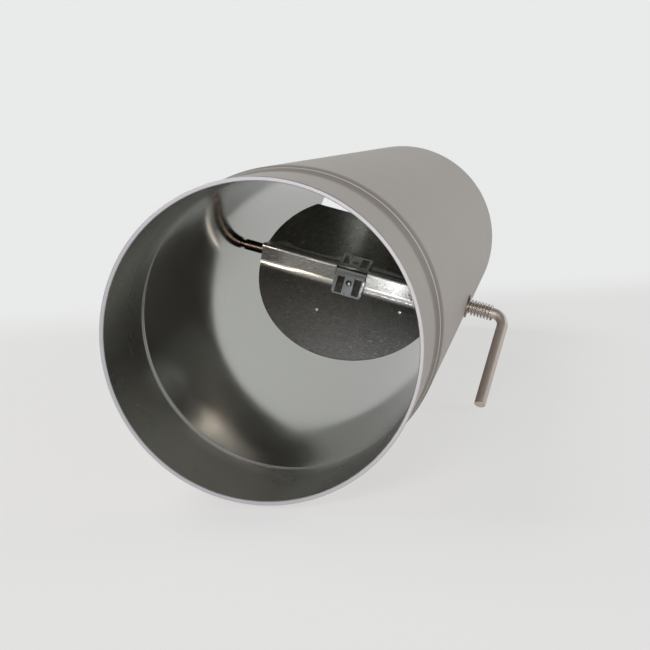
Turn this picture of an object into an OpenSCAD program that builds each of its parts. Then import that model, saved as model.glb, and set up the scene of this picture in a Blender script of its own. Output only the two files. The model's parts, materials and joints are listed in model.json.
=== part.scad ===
// Stove pipe with a damper, lying on its side and propped by the damper's handle.
// The pipe's axis runs along Y. The origin is the centre of the spigot's mouth, which faces -Y.

/* [Pipe] */
// Inside diameter of the wide body
body_bore = 150; // [140:1:200]
// Thickness of the pipe's sheet
wall = 2; // [1.5:0.1:2.5]
// Length of the whole pipe
pipe_len = 500; // [400:10:1000]
// Radial play of the spigot inside the next pipe's bore
spigot_play = 0.5; // [0.3:0.1:1]
// Length of the straight spigot
spigot_len = 50; // [30:1:80]
// Length of the shoulder between spigot and body
shoulder_len = 13; // [6:1:20]
// Bevel on the pipe's rim edges
rim_bevel = 0.3; // [0.1:0.1:0.5]

/* [Damper rod] */
// Distance of the rod from the spigot's mouth
damper_y = 250; // [180:5:300]
// Diameter of the rod and its handle
rod_d = 7; // [6:0.5:8]
// Radial clearance of the rod in the pipe's two holes
rod_hole_gap = 0.1; // [0.05:0.01:0.1]
// Length of the handle, from the rod's axis to its tip
handle_len = 65; // [55:1:80]
// Radius of the handle's bend, on the centreline
bend_r = 7.5; // [6:0.5:10]
// Bevel on both ends of the rod
tip_bevel = 0.5; // [0.2:0.1:1]
// Depth of the flat that keys the rod to the plate
rod_flat = 0.4; // [0.2:0.1:0.8]
// Length of rod past the retaining ring
rod_tail = 2.5; // [1:0.5:6]
// Distance of the turned groove from the pipe's wall, inside
inner_groove_gap = 0.2; // [0.2:0.1:4]
// Width of the turned groove inside
inner_groove_w = 1.3; // [0.8:0.1:2]
// Depth of the turned groove inside
inner_groove_depth = 1; // [0.3:0.1:1.2]
// Depth of the groove that seats the retaining ring
groove_depth = 0.5; // [0.3:0.1:0.8]

/* [Damper plate] */
// Radius of the round plate
plate_r = 61; // [50:1:66]
// Distance of the plate's straight top edge from the rod
plate_chord = 47; // [35:1:48]
// Thickness of the plate's sheet
plate_t = 1.2; // [0.8:0.1:2]
// Angle of the plate from closed, as the part lies
plate_lean = 39.3; // [20:0.1:45]
// Half width of the pressed rib where it leaves the flat sheet
rib_base = 8.5; // [7.5:0.1:10]
// Inner radius of the bend along the rib's ridge
rib_bend = 1; // [0.5:0.1:2.5]
// Radius of the soft bend where the rib's flank runs out into the flat sheet
rib_fillet = 6.5; // [2:0.5:7]
// Radial clearance of the rib over the rod
rib_gap = 0.1; // [0.05:0.05:0.3]
// Clearance between the rod's flat and the plate
key_gap = 0.05; // [0.02:0.01:0.1]
// Radius of the two pressed dimples, at the sheet's face
dimple_r = 1.8; // [1:0.1:3]
// Depth of the two pressed dimples
dimple_depth = 0.7; // [0.3:0.1:1]

/* [Rod clip] */
// Length of the clip along the rod
clip_w = 20; // [16:1:24]
// Thickness of the clip's strip
clip_t = 1; // [0.8:0.1:1.2]
// Radial clearance of the clip over the rod
clip_gap = 0.05; // [0.02:0.01:0.2]
// Distance of each foot from the rod's axis
foot_reach = 16; // [14:0.5:18]
// Width of each foot
foot_w = 15; // [12:1:16]
// Length of the toe that grips behind the plate
toe_len = 2.5; // [1.5:0.5:4]
// Clearance of the feet in the plate's slots
slot_gap = 0.15; // [0.1:0.05:0.3]
// Width of the bar between the clip's two windows
window_bar = 6.5; // [4:0.5:8]
// Width of the rim on the outer side of each window
window_rim = 2; // [1.5:0.1:3]
// Width of the strip between each window and the clip's arch
window_head = 2.5; // [1.5:0.1:3]
// Width of the strip between each window and the clip's foot
window_foot = 1.2; // [1:0.1:3]
// Radius of the clip's corners beside its feet
clip_corner = 2.5; // [0.5:0.1:2.5]
// Radius of the round boss pressed in the bar
boss_r = 1.9; // [1:0.1:2]
// Height of the round boss
boss_h = 0.8; // [0.4:0.1:1]
// Distance of the round boss from the rod, up the plate
boss_reach = 8; // [6:0.5:11]

/* [Washer, spring and ring] */
// Outside diameter of the washer
washer_d = 15; // [13:0.5:18]
// Thickness of the washer
washer_t = 1.2; // [0.8:0.1:2]
// Radial clearance of the washer on the rod
washer_gap = 0.2; // [0.1:0.05:0.4]
// Length of the fitted spring
spring_len = 16; // [13:0.5:20]
// Diameter of the spring's wire
wire_d = 1.2; // [1:0.1:1.4]
// Number of turns of the spring
turns = 7; // [5:1:9]
// Radial clearance of the spring on the rod
spring_gap = 0.5; // [0.3:0.1:0.8]
// Diameter of the retaining ring
ring_d = 12; // [11:0.5:15]
// Thickness of the retaining ring
ring_t = 0.7; // [0.5:0.1:1]

/* [Hidden] */
$fn = 96;
// Overshoot of cutting shapes, and the gap between faces that touch
over = 1;
seat_gap = 0.05;
// Gap between a piece that turns with the rod and one that stays with the pipe
turn_gap = 0.3;

bore_r = body_bore / 2;
body_r = bore_r + wall;
spigot_r = bore_r - spigot_play;
shoulder_end = spigot_len + shoulder_len;
shoulder_steps = 12;
arc_steps = 12;

rod_r = rod_d / 2;
washer_face = body_r + seat_gap + washer_t;
spring_start = washer_face + turn_gap;
bend_start = spring_start + spring_len;
elbow = bend_start + bend_r;
ring_face = body_r + turn_gap;
rod_start = ring_face + ring_t + rod_tail;

// The plate's front face lies behind the rod's axis, on the flat of the rod
plate_front = rod_r - rod_flat + key_gap;
plate_back = plate_front + plate_t;
bridge = clip_w / 2 + 0.5;
// Places of the dimples, along the rod and up the plate
dimple_places = [[-14, -32], [37, -17.5]];

// Height of the handle tip's lowest point under its centre, when the rod's right end drops by an angle
function tip_lean(drop) = cos(plate_lean) * cos(drop);
function tip_sink(drop) = let (c = tip_lean(drop), s = sqrt(1 - c * c))
    max((rod_r - tip_bevel) * s, rod_r * s - tip_bevel * c);
// Drop of the rod at which both the pipe and the handle's tip touch the floor
function drop_for(sink) = let (a = elbow, b = handle_len * cos(plate_lean))
    asin((body_r - sink) / norm([a, b])) - atan2(b, a);
rod_drop = drop_for(tip_sink(drop_for(tip_sink(15))));

// Points of a smooth step from radius r1 at y1 to radius r2 at y2
function step_points(r1, y1, r2, y2) = [
    for (i = [0 : shoulder_steps])
        let (s = i / shoulder_steps)
        [r1 + (r2 - r1) * (1 - cos(180 * s)) / 2, y1 + (y2 - y1) * s]
];

// Point where the tangent from p touches a circle of radius r round the origin
function tangent_point(p, r) = let (a = atan2(p.y, p.x) + acos(r / norm(p))) [r * cos(a), r * sin(a)];

// Places its children in the damper's frame: rod along X, plate across Y, straight edge up
module in_damper() {
    translate([0, damper_y, 0]) rotate([0, rod_drop, 0]) rotate([-plate_lean, 0, 0]) children();
}

// Turns a section drawn as (up the plate, out of its face) into a length along the rod
module along_rod(from, to) {
    translate([from, 0, 0]) rotate([0, 90, 0]) rotate([0, 0, 180]) linear_extrude(to - from) children();
}

// Draws its children as they are, and again upside down
module above_and_below() {
    children();
    mirror([0, 0, 1]) children();
}

// The same points in the opposite order
function backwards(points) = [
    for (i = [len(points) - 1 : -1 : 0])
        points[i]
];

// Points of an arc of radius r round a centre, from one angle to another
function arc_points(centre, r, from, to) = [
    for (i = [0 : arc_steps])
        let (at = from + (to - from) * i / arc_steps)
        centre + r * [cos(at), sin(at)]
];

// Angle that a flank faces, if it passes outer_r from the rod's axis and heads for (foot, -plate_front)
function flank_angle(outer_r, foot) = let (t = tangent_point([foot, -plate_front], outer_r))
    atan2(t.y, t.x);

// Place at the height y on a line that faces the angle a and passes r from the rod's axis
function on_flank(a, r, y) = [(r - y * sin(a)) / cos(a), y];

// Section of sheet bent over the rod: a ridge with the inner radius bend, and flanks that face the
// angle a and pass inner_r from the rod's axis. right holds the right foot's points, outer face first.
module bent_sheet(inner_r, thick, bend, a, right) {
    centre = [0, (inner_r - bend) / sin(a)];
    outside = arc_points(centre, bend + thick, 180 - a, a);
    inside = arc_points(centre, bend, a, 180 - a);
    polygon(concat(outside, right, inside, [
        for (point = backwards(right))
            [-point.x, point.y]
    ]));
}

// Rolled sheet pipe: narrowed spigot, smooth shoulder, wide body, and two holes for the rod
module pipe() {
    b = rim_bevel;
    outer = concat([[spigot_r - b, 0], [spigot_r, b]],
        step_points(spigot_r, spigot_len, body_r, shoulder_end),
        [[body_r, pipe_len - b], [body_r - b, pipe_len]]);
    inner = concat([[spigot_r - wall + b, 0], [spigot_r - wall, b]],
        step_points(spigot_r - wall, spigot_len, bore_r, shoulder_end),
        [[bore_r, pipe_len - b], [bore_r + b, pipe_len]]);
    color([0.62, 0.6, 0.58])
    difference() {
        rotate([-90, 0, 0]) rotate_extrude() polygon(concat(outer, backwards(inner)));
        translate([0, damper_y, 0]) rotate([0, 90 + rod_drop, 0])
            cylinder(h = 2 * (body_r + over), r = rod_r + rod_hole_gap, center = true);
    }
}

// Ring of material to cut away for a turned groove
module groove(from, width, depth) {
    translate([from, 0, 0]) rotate([0, 90, 0]) difference() {
        cylinder(h = width, r = rod_r + over);
        translate([0, 0, -over]) cylinder(h = width + 2 * over, r = rod_r - depth);
    }
}

// Round rod, bent square at one end into the handle
module damper_rod() {
    color([0.45, 0.42, 0.4])
    in_damper() difference() {
        union() {
            translate([-rod_start, 0, 0]) rotate([0, 90, 0]) {
                cylinder(h = tip_bevel, r1 = rod_r - tip_bevel, r2 = rod_r);
                translate([0, 0, tip_bevel]) cylinder(h = rod_start + bend_start - tip_bevel, r = rod_r);
            }
            translate([bend_start, 0, -bend_r]) rotate([90, 0, 0])
                rotate_extrude(angle = 90) translate([bend_r, 0]) circle(rod_r);
            translate([elbow, 0, -handle_len]) {
                cylinder(h = tip_bevel, r1 = rod_r - tip_bevel, r2 = rod_r);
                translate([0, 0, tip_bevel]) cylinder(h = handle_len - tip_bevel - bend_r, r = rod_r);
            }
        }
        // Flat that lies on the plate, between the two ribs
        translate([-bridge, rod_r - rod_flat, -rod_d]) cube([2 * bridge, rod_d, 2 * rod_d]);
        groove(-ring_face - ring_t - seat_gap, ring_t + 2 * seat_gap, groove_depth);
        groove(-bore_r + inner_groove_gap, inner_groove_w, inner_groove_depth);
    }
}

// Solid of the plate's outline: a round bar along Y, with a straight top edge
module plate_outline() {
    depth = 2 * rod_d;
    intersection() {
        rotate([90, 0, 0]) cylinder(h = 2 * depth, r = plate_r, center = true);
        translate([-plate_r - over, -depth - over, -plate_r - over])
            cube([2 * (plate_r + over), 2 * (depth + over), plate_r + over + plate_chord]);
    }
}

// Ball of a pressed dimple, which sinks into the plate's front and swells from its back
module dimple_ball(place, shell) {
    ball_r = (dimple_r * dimple_r + dimple_depth * dimple_depth) / (2 * dimple_depth);
    translate([place.x, plate_front - ball_r + dimple_depth, place.y]) sphere(ball_r + shell);
}

// Round damper plate with a rib pressed over the rod on both sides of a flat bridge
module damper_plate() {
    reach = plate_r + over;
    slot_low = foot_reach - clip_t - slot_gap;
    slot_h = clip_t + 2 * slot_gap;
    color([0.5, 0.5, 0.5])
    in_damper() difference() {
        union() {
            intersection() {
                plate_outline();
                union() {
                    along_rod(-reach, -bridge) rib_section();
                    along_rod(-bridge, bridge) flat_section();
                    along_rod(bridge, reach) rib_section();
                }
            }
            intersection() {
                for (place = dimple_places)
                    dimple_ball(place, plate_t);
                translate([-plate_r, plate_front + plate_t / 2, -plate_r])
                    cube([2 * plate_r, plate_t, 2 * plate_r]);
            }
        }
        for (place = dimple_places)
            dimple_ball(place, 0);
        // Slots for the clip's two feet
        above_and_below() translate([-foot_w / 2 - slot_gap, plate_front - over, slot_low])
            cube([foot_w + 2 * slot_gap, plate_t + 2 * over, slot_h]);
    }
}

// Section of the flat sheet behind the rod
module flat_section() {
    translate([-plate_r - over, -plate_back]) square([2 * (plate_r + over), plate_t]);
}

// Section of the sheet where the rib is pressed out over the rod, with a soft bend at each foot
module rib_section() {
    inner_r = rod_r + rib_gap;
    outer_r = inner_r + plate_t;
    reach = plate_r + over;
    a = flank_angle(outer_r, rib_base);
    centre = on_flank(a, outer_r + rib_fillet, rib_fillet - plate_front);
    front = arc_points(centre, rib_fillet, a + 180, 270);
    back = arc_points(centre, rib_fillet + plate_t, 270, a + 180);
    right = concat(front, [[reach, -plate_front], [reach, -plate_back]], back);
    bent_sheet(inner_r, plate_t, rib_bend, a, right);
}

// Section of the clip's strip, an arch round the rod with straight flanks down to the plate
module clip_section() {
    inner_r = rod_r + clip_gap;
    a = flank_angle(inner_r + clip_t, foot_reach);
    right = [[foot_reach, -plate_front], on_flank(a, inner_r, -plate_front)];
    bent_sheet(inner_r, clip_t, inner_r, a, right);
}

// Outline of the clip seen from its front, without its feet
module clip_outline() {
    corner = [clip_w / 2 - clip_corner, foot_reach - clip_corner];
    polygon([
        for (turn = [0 : 3])
            let (side = [turn == 0 || turn == 3 ? 1 : -1, turn < 2 ? 1 : -1])
            each arc_points([side.x * corner.x, side.y * corner.y], clip_corner, 90 * turn, 90 * turn + 90)
    ]);
}

// Spring steel saddle that holds the rod down on the bridge, with feet hooked behind the plate
module rod_clip() {
    outer_r = rod_r + clip_gap + clip_t;
    toe_back = plate_back + seat_gap + clip_t;
    a = flank_angle(outer_r, foot_reach);
    window_low = outer_r * cos(a) + window_head;
    window_top = foot_reach - window_foot;
    window_w = (clip_w - window_bar) / 2 - window_rim;
    color([0.35, 0.33, 0.32])
    in_damper() union() {
        difference() {
            intersection() {
                along_rod(-clip_w / 2 - over, clip_w / 2 + over) clip_section();
                rotate([90, 0, 0]) linear_extrude(4 * rod_d, center = true) clip_outline();
            }
            above_and_below() for (left = [-window_bar / 2 - window_w, window_bar / 2])
                translate([left, -2 * rod_d, window_low])
                    cube([window_w, 2 * rod_d + plate_front - over / 2, window_top - window_low]);
        }
        above_and_below() {
            // Foot through the plate's slot, and its toe behind the plate
            translate([-foot_w / 2, plate_front - clip_t / 2, foot_reach - clip_t])
                cube([foot_w, toe_back - plate_front + clip_t / 2, clip_t]);
            translate([-foot_w / 2, toe_back - clip_t, foot_reach - clip_t])
                cube([foot_w, clip_t, clip_t + toe_len]);
            translate([0, -outer_r * sin(a), outer_r * cos(a)]) rotate([a, 0, 0])
                translate([0, (boss_reach - outer_r * cos(a)) / sin(a), 0]) boss();
        }
    }
}

// Round boss pressed out of the clip's bar
module boss() {
    ball_r = (boss_r * boss_r + boss_h * boss_h) / (2 * boss_h);
    intersection() {
        translate([0, 0, boss_h - ball_r]) sphere(ball_r);
        translate([0, 0, -clip_t / 2]) cylinder(h = 2 * ball_r, r = 2 * boss_r);
    }
}

// Flat washer between the pipe and the spring
module washer() {
    color([0.4, 0.38, 0.36])
    in_damper() translate([body_r + seat_gap, 0, 0]) rotate([0, 90, 0]) difference() {
        cylinder(h = washer_t, d = washer_d);
        translate([0, 0, -over]) cylinder(h = washer_t + 2 * over, r = rod_r + washer_gap);
    }
}

// Coil spring between the washer and the handle's bend
module spring() {
    sides = 8;
    per_turn = 22;
    steps = turns * per_turn;
    wire_r = wire_d / 2;
    coil_r = rod_r + spring_gap + wire_r;
    rise = (spring_len - wire_d) / steps;
    points = [
        for (i = [0 : steps], k = [0 : sides - 1])
            let (a = 360 * i / per_turn, s = 360 * k / sides, r = coil_r + wire_r * cos(s))
            [spring_start + wire_r + rise * i + wire_r * sin(s), r * cos(a), r * sin(a)]
    ];
    around = [
        for (i = [0 : steps - 1], k = [0 : sides - 1])
            let (n = (k + 1) % sides)
            [i * sides + k, (i + 1) * sides + k, (i + 1) * sides + n, i * sides + n]
    ];
    first = [
        for (k = [0 : sides - 1])
            k
    ];
    last = [
        for (k = backwards(first))
            steps * sides + k
    ];
    color([0.5, 0.46, 0.44])
    in_damper() polyhedron(points, concat(around, [first, last]));
}

// Open retaining ring, snapped into the groove outside the pipe's far wall
module retaining_ring() {
    seat_r = rod_r - groove_depth + seat_gap;
    mouth = 1.6 * seat_r;
    color([0.3, 0.3, 0.3])
    in_damper() along_rod(-ring_face - ring_t, -ring_face) difference() {
        circle(ring_d / 2);
        circle(seat_r);
        // Reliefs that leave three gripping noses
        for (side = [-1, 1])
            rotate(side * 60) translate([0, seat_r + 0.3]) circle(seat_r / 2.6);
        translate([-mouth / 2, -ring_d]) square([mouth, ring_d]);
    }
}

pipe();
damper_rod();
damper_plate();
rod_clip();
washer();
spring();
retaining_ring();
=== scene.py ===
# %% [markdown]
# # A stove pipe with a damper
# The object is a short steel flue pipe that lies on its side. A round damper plate sits on a rod
# inside it, and the rod's bent end is the handle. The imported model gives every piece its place, so
# this lesson only gives the pieces their finer shape and their finish. Sizes of pieces are written in
# millimetres, and MM turns them into the metres that Blender counts in.

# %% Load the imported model
import json
import math

import bmesh
import bpy
from mathutils import Matrix, Vector

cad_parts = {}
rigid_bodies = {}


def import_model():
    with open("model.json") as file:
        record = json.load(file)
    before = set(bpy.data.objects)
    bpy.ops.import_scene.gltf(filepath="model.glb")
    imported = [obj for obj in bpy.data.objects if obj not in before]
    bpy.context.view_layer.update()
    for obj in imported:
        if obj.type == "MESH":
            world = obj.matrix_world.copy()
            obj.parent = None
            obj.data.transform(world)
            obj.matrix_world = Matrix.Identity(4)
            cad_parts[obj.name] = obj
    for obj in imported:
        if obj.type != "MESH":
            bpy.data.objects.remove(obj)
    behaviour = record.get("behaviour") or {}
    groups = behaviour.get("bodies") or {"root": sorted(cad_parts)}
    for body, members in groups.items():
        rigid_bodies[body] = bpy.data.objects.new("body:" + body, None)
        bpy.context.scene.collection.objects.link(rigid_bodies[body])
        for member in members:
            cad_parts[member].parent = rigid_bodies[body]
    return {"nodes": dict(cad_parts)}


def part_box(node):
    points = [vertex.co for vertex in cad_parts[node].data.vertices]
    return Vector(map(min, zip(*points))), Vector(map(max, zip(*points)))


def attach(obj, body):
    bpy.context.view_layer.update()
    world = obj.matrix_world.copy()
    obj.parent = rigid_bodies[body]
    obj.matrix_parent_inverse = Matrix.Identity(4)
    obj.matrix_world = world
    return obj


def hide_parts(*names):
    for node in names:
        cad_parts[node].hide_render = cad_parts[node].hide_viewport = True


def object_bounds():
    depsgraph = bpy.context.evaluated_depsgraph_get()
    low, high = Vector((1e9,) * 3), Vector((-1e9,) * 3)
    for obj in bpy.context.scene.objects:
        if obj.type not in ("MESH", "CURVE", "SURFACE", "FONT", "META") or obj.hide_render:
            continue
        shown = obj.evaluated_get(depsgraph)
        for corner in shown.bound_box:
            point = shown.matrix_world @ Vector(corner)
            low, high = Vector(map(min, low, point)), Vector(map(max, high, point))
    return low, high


for leftover in list(bpy.data.objects):
    bpy.data.objects.remove(leftover)
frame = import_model()
cad_low, cad_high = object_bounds()
MM = 0.001
print("nodes", sorted(frame["nodes"]))
print("box in mm", [round((b - a) / MM, 1) for a, b in zip(cad_low, cad_high)])

# %% [markdown]
# ## Camera
# The camera stands to the right of the pipe's mouth and a little above it. Its place and its lens
# come from fitting the outlines of both rims, so the pipe's foreshortening is right as well.

# %% Camera
CAMERA_AZIMUTH = 11.174
CAMERA_ELEVATION = 9.754
CAMERA_ROLL = -0.741
CAMERA_PLACE = (0.12878, -0.49607, 0.09647)
SENSOR_MM = 36
FOCAL_PX = 1170.75
FRAME_PX = 650


def camera_turn(azimuth, elevation, roll):
    """Rotation of a camera that looks along +Y at azimuth 0."""
    a, e = math.radians(azimuth), math.radians(elevation)
    back = Vector((math.sin(a) * math.cos(e), -math.cos(a) * math.cos(e), math.sin(e)))
    right = Vector((0, 0, 1)).cross(back).normalized()
    up = back.cross(right)
    c, s = math.cos(math.radians(roll)), math.sin(math.radians(roll))
    rolled_right, rolled_up = c * right + s * up, c * up - s * right
    return Matrix((rolled_right, rolled_up, back)).transposed()


camera = bpy.data.objects.new("camera", bpy.data.cameras.new("camera"))
bpy.context.scene.collection.objects.link(camera)
camera.data.sensor_width = SENSOR_MM
camera.data.lens = SENSOR_MM * FOCAL_PX / FRAME_PX
camera.data.clip_start, camera.data.clip_end = 0.01, 50
camera.matrix_world = Matrix.Translation(CAMERA_PLACE) @ camera_turn(
    CAMERA_AZIMUTH, CAMERA_ELEVATION, CAMERA_ROLL
).to_4x4()
bpy.context.scene.camera = camera
print("lens in mm", round(camera.data.lens, 2))

# %% [markdown]
# ## Helpers for colours and nodes
# Colours are written as sRGB hex values, as they are read off a screen, and one function turns them
# to the linear values that shaders work in. One function adds any node, for a material's tree and
# for a geometry tree alike.

# %% Colour and node helpers


def linear(hex_colour):
    """Linear RGBA of an sRGB hex colour such as '9a958f'."""
    channels = [int(hex_colour[i : i + 2], 16) / 255 for i in (0, 2, 4)]
    return tuple(c / 12.92 if c <= 0.04045 else ((c + 0.055) / 1.055) ** 2.4 for c in channels) + (1,)


def add(tree, kind, links=None, values=None, **settings):
    """Adds a node to a tree, with its settings, the links into its sockets and their values."""
    made = tree.nodes.new(kind)
    for key, value in settings.items():
        setattr(made, key, value)
    for key, value in (values or {}).items():
        made.inputs[key].default_value = value
    for key, source in (links or {}).items():
        tree.links.new(source, made.inputs[key])
    return made


print("mid grey in linear light", round(linear("808080")[0], 3))

# %% [markdown]
# ## Finishes
# Every piece here is steel, but each is made another way, and the eye tells them apart by how sharp
# their reflections are. A flat colour would be simplest, but real steel is never quite even. So each
# finish starts from a slow cloudiness in its colour and its roughness. Some get a fine grain as well,
# and some change from one end of the piece to the other.

# %% A shader to start from, and the metal's cloudiness
CLOUD_DETAIL, CLOUD_CRISPNESS = 4, 0.6
CLOUD_LEVELS = (0.3, 0.7)


def new_material(name, metallic=1.0):
    """A material with one Principled shader: the material, the shader and Object coordinates."""
    made = bpy.data.materials.new(name)
    made.use_nodes = True
    tree = made.node_tree
    tree.nodes.clear()
    shader = add(tree, "ShaderNodeBsdfPrincipled", values={"Metallic": metallic})
    add(tree, "ShaderNodeOutputMaterial", {"Surface": shader.outputs["BSDF"]})
    return made, shader, add(tree, "ShaderNodeTexCoord").outputs["Object"]


def clouded(shader, place, cell_mm, dark, light, smooth, rough):
    """Colour and roughness that drift between two values in soft cells of about cell_mm."""
    tree = shader.id_data
    clouds = add(
        tree, "ShaderNodeTexNoise", {"Vector": place},
        {"Scale": 1 / (cell_mm * MM), "Detail": CLOUD_DETAIL, "Roughness": CLOUD_CRISPNESS},
    ).outputs["Fac"]
    colour = add(
        tree, "ShaderNodeMix", {"Factor": clouds}, {"A": linear(dark), "B": linear(light)}, data_type="RGBA"
    ).outputs["Result"]
    roughness = add(
        tree, "ShaderNodeMapRange", {"Value": clouds},
        {"From Min": CLOUD_LEVELS[0], "From Max": CLOUD_LEVELS[1], "To Min": smooth, "To Max": rough},
    ).outputs["Result"]
    tree.links.new(colour, shader.inputs["Base Color"])
    tree.links.new(roughness, shader.inputs["Roughness"])
    return colour, roughness


def steel(name, cell_mm, dark, light, smooth, rough):
    """Bare steel, clouded in cells of a size."""
    made, shader, place = new_material(name)
    clouded(shader, place, cell_mm, dark, light, smooth, rough)
    return made


print("clouds between the noise levels", CLOUD_LEVELS)

# %% [markdown]
# ### Grain and change along a piece
# Blasting, rolling and spraying all leave a grain. The real one is a few hundredths of a millimetre
# fine, too fine to show here, so it is drawn a few tenths coarse. A finish that changes along a piece
# could be two materials with a hard border. A share that rises smoothly along a direction keeps it
# one, and the other roughness comes in as gently as on the real piece. The darker tint that comes in
# with it is painted shade.

# %% Helpers for grain and change


def grained(shader, place, grain_mm, strength, height_mm):
    """A fine bump of grains of about grain_mm."""
    tree = shader.id_data
    grit = add(tree, "ShaderNodeTexNoise", {"Vector": place}, {"Scale": 1 / (grain_mm * MM), "Detail": 2})
    bump = add(
        tree, "ShaderNodeBump", {"Height": grit.outputs["Fac"]},
        {"Strength": strength, "Distance": height_mm * MM},
    )
    tree.links.new(bump.outputs["Normal"], shader.inputs["Normal"])


def share_along(place, direction, start_mm, end_mm, share_start=0.0, share_end=1.0):
    """A share that goes from one value to another between two distances along a direction."""
    tree = place.id_data
    distance = add(
        tree, "ShaderNodeVectorMath", {0: place}, {1: direction}, operation="DOT_PRODUCT"
    ).outputs["Value"]
    return add(
        tree, "ShaderNodeMapRange", {"Value": distance},
        {"From Min": start_mm * MM, "From Max": end_mm * MM, "To Min": share_start, "To Max": share_end},
        interpolation_type="SMOOTHSTEP",
    ).outputs["Result"]


def changed(shader, share, colour, roughness, tint, rougher):
    """Where the share is high, multiplies the colour by a darker tint of painted shade and adds to the
    roughness.
    """
    tree = shader.id_data
    shaded = add(
        tree, "ShaderNodeMix", {"Factor": share, "A": colour}, {"B": linear(tint)},
        data_type="RGBA", blend_type="MULTIPLY",
    )
    roughened = add(
        tree, "ShaderNodeMath", {0: share, 2: roughness}, {1: rougher}, operation="MULTIPLY_ADD"
    )
    tree.links.new(shaded.outputs["Result"], shader.inputs["Base Color"])
    tree.links.new(roughened.outputs["Value"], shader.inputs["Roughness"])


print("helpers", [helper.__name__ for helper in (grained, share_along, changed)])

# %% [markdown]
# ### The pipe's three surfaces
# Outside, the pipe has heat resistant paint, sprayed on and baked to a soft satin, and a painted shade
# makes it a shade darker on the shoulder. Inside it is bare cold rolled sheet, duller in the spigot, as
# if spray had drifted in there, and darker there by a painted shade. The cut edges are brushed clean.
# One finish for the whole pipe would lose what the photo shows best: the same windows look soft
# outside and sharp inside.

# %% Finishes of the pipe
ALONG_PIPE = (0, 1, 0)
SHOULDER_SHADE_MM = (41, 50, 60, 68)
SHOULDER_PAINTED_SHADE = "cac4c0"
SPRAY_AND_SHADE_REACH_MM = (60, 35)
SPIGOT_PAINTED_SHADE = "cdcac8"
SPRAY_DULLNESS = 0.13
STEEL_EDGE_TINT = "d2d2d2"


def baked_grey_paint():
    """Heat resistant silicone paint with metal flake, sprayed and baked: matt, warm grey, even, with a
    painted shade on the shoulder.
    """
    made, shader, place = new_material("baked_grey_paint", metallic=0.35)
    colour, roughness = clouded(shader, place, 30, "a8a19b", "aea7a1", 0.5, 0.56)
    # A band of painted shade darkens the paint over the shoulder.
    rising = share_along(place, ALONG_PIPE, *SHOULDER_SHADE_MM[:2])
    falling = share_along(place, ALONG_PIPE, *SHOULDER_SHADE_MM[2:], 1.0, 0.0)
    shoulder_shade = add(shader.id_data, "ShaderNodeMath", {0: rising, 1: falling}, operation="MULTIPLY")
    changed(shader, shoulder_shade.outputs["Value"], colour, roughness, SHOULDER_PAINTED_SHADE, 0.0)
    grained(shader, place, 0.5, 0.2, 0.02)
    return made


def bare_sheet_inside():
    """Cold rolled sheet as it left the mill: a smooth grey metal that mirrors light along the wall."""
    made, shader, place = new_material("bare_cold_rolled_sheet")
    colour, roughness = clouded(shader, place, 25, "c0c1bb", "c6c7c1", 0.12, 0.15)
    # In the spigot the sheet is duller, and a painted shade darkens its colour there.
    sprayed = share_along(place, ALONG_PIPE, *SPRAY_AND_SHADE_REACH_MM)
    changed(shader, sprayed, colour, roughness, SPIGOT_PAINTED_SHADE, SPRAY_DULLNESS)
    grained(shader, place, 0.6, 0.1, 0.01)
    shader.inputs["Specular Tint"].default_value = linear(STEEL_EDGE_TINT)
    return made


PAINT, BARE = baked_grey_paint(), bare_sheet_inside()
# Cut edge, brushed clean: the brightest steel on the pipe, a thin pale line round its mouth.
EDGE = steel("cut_edge_steel", 4, "b4b4b8", "bebec4", 0.45, 0.55)
print("pipe finishes", PAINT.name, BARE.name, EDGE.name)

# %% [markdown]
# ### Rod, clip, washer, spring and ring
# The rod is drawn bar. Inside the pipe it is still smooth, and a painted shade darkens it there.
# Outside it is blasted to a pale satin, so its finish changes at the pipe's wall. The small pieces
# differ only in colour and in how they mirror: polished spring strip, a punched washer, hard drawn wire
# and a blackened snap ring. Each is a line of values for the same function, which is less to read
# than five functions.

# %% Finishes of the damper
ALONG_X = (1, 0, 0)
AT_WALL_MM = (76, 70)
ROD_PAINTED_SHADE_INSIDE = "8e8884"
INSIDE_SMOOTHING = -0.28


def bar_steel():
    """Drawn bar, still smooth inside the pipe, with a painted shade there, and blasted to a pale satin
    outside it.
    """
    made, shader, place = new_material("drawn_bar_steel")
    colour, roughness = clouded(shader, place, 3, "c0b5ae", "ccc2bb", 0.5, 0.58)
    in_pipe = share_along(place, ALONG_X, *AT_WALL_MM)
    # Inside the pipe a painted shade darkens the bar.
    changed(shader, in_pipe, colour, roughness, ROD_PAINTED_SHADE_INSIDE, INSIDE_SMOOTHING)
    grained(shader, place, 0.4, 0.25, 0.02)
    return made


BAR = bar_steel()
# Polished strip: a near mirror, so the clip shows mostly by the glints on its edges.
STRIP = steel("spring_strip_steel", 4, "9fa1a3", "b0b2b4", 0.07, 0.11)
# Punched from oiled sheet: brownish and half dull.
WASHER = steel("punched_washer_steel", 3, "8f847c", "a0958d", 0.3, 0.4)
# Hard drawn wire: paler and smoother than the blasted bar beside it.
WIRE = steel("spring_wire_steel", 3, "bdb6b1", "c9c3be", 0.24, 0.3)
# Blackened in its heat treatment: almost black, with a soft shine.
RING = steel("blackened_ring_steel", 3, "4a4846", "5a5856", 0.3, 0.4)
print("damper finishes", [m.name for m in (BAR, STRIP, WASHER, WIRE, RING)])

# %% [markdown]
# ### The plate
# Cold rolled sheet has smooth lands between shallow valleys, which gives a sharp mirror image under a
# soft haze. A single roughness is either sharp or hazy, so a fine noise deals the surface out between
# the two. Real valleys are a few hundredths of a millimetre wide. They are drawn 0.2 mm wide, which
# the render still blends. The plate is duller below the rod than above it, and handling has left a
# few short scratches, which a noise that is stretched along two directions draws.

# %% Scratches of handling
SCRATCHES = ((20, 9, 0.5), (-55, 12, 0.6))
SCRATCH_TILT = 15
SCRATCH_LEVELS = (0.78, 0.84)


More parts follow.
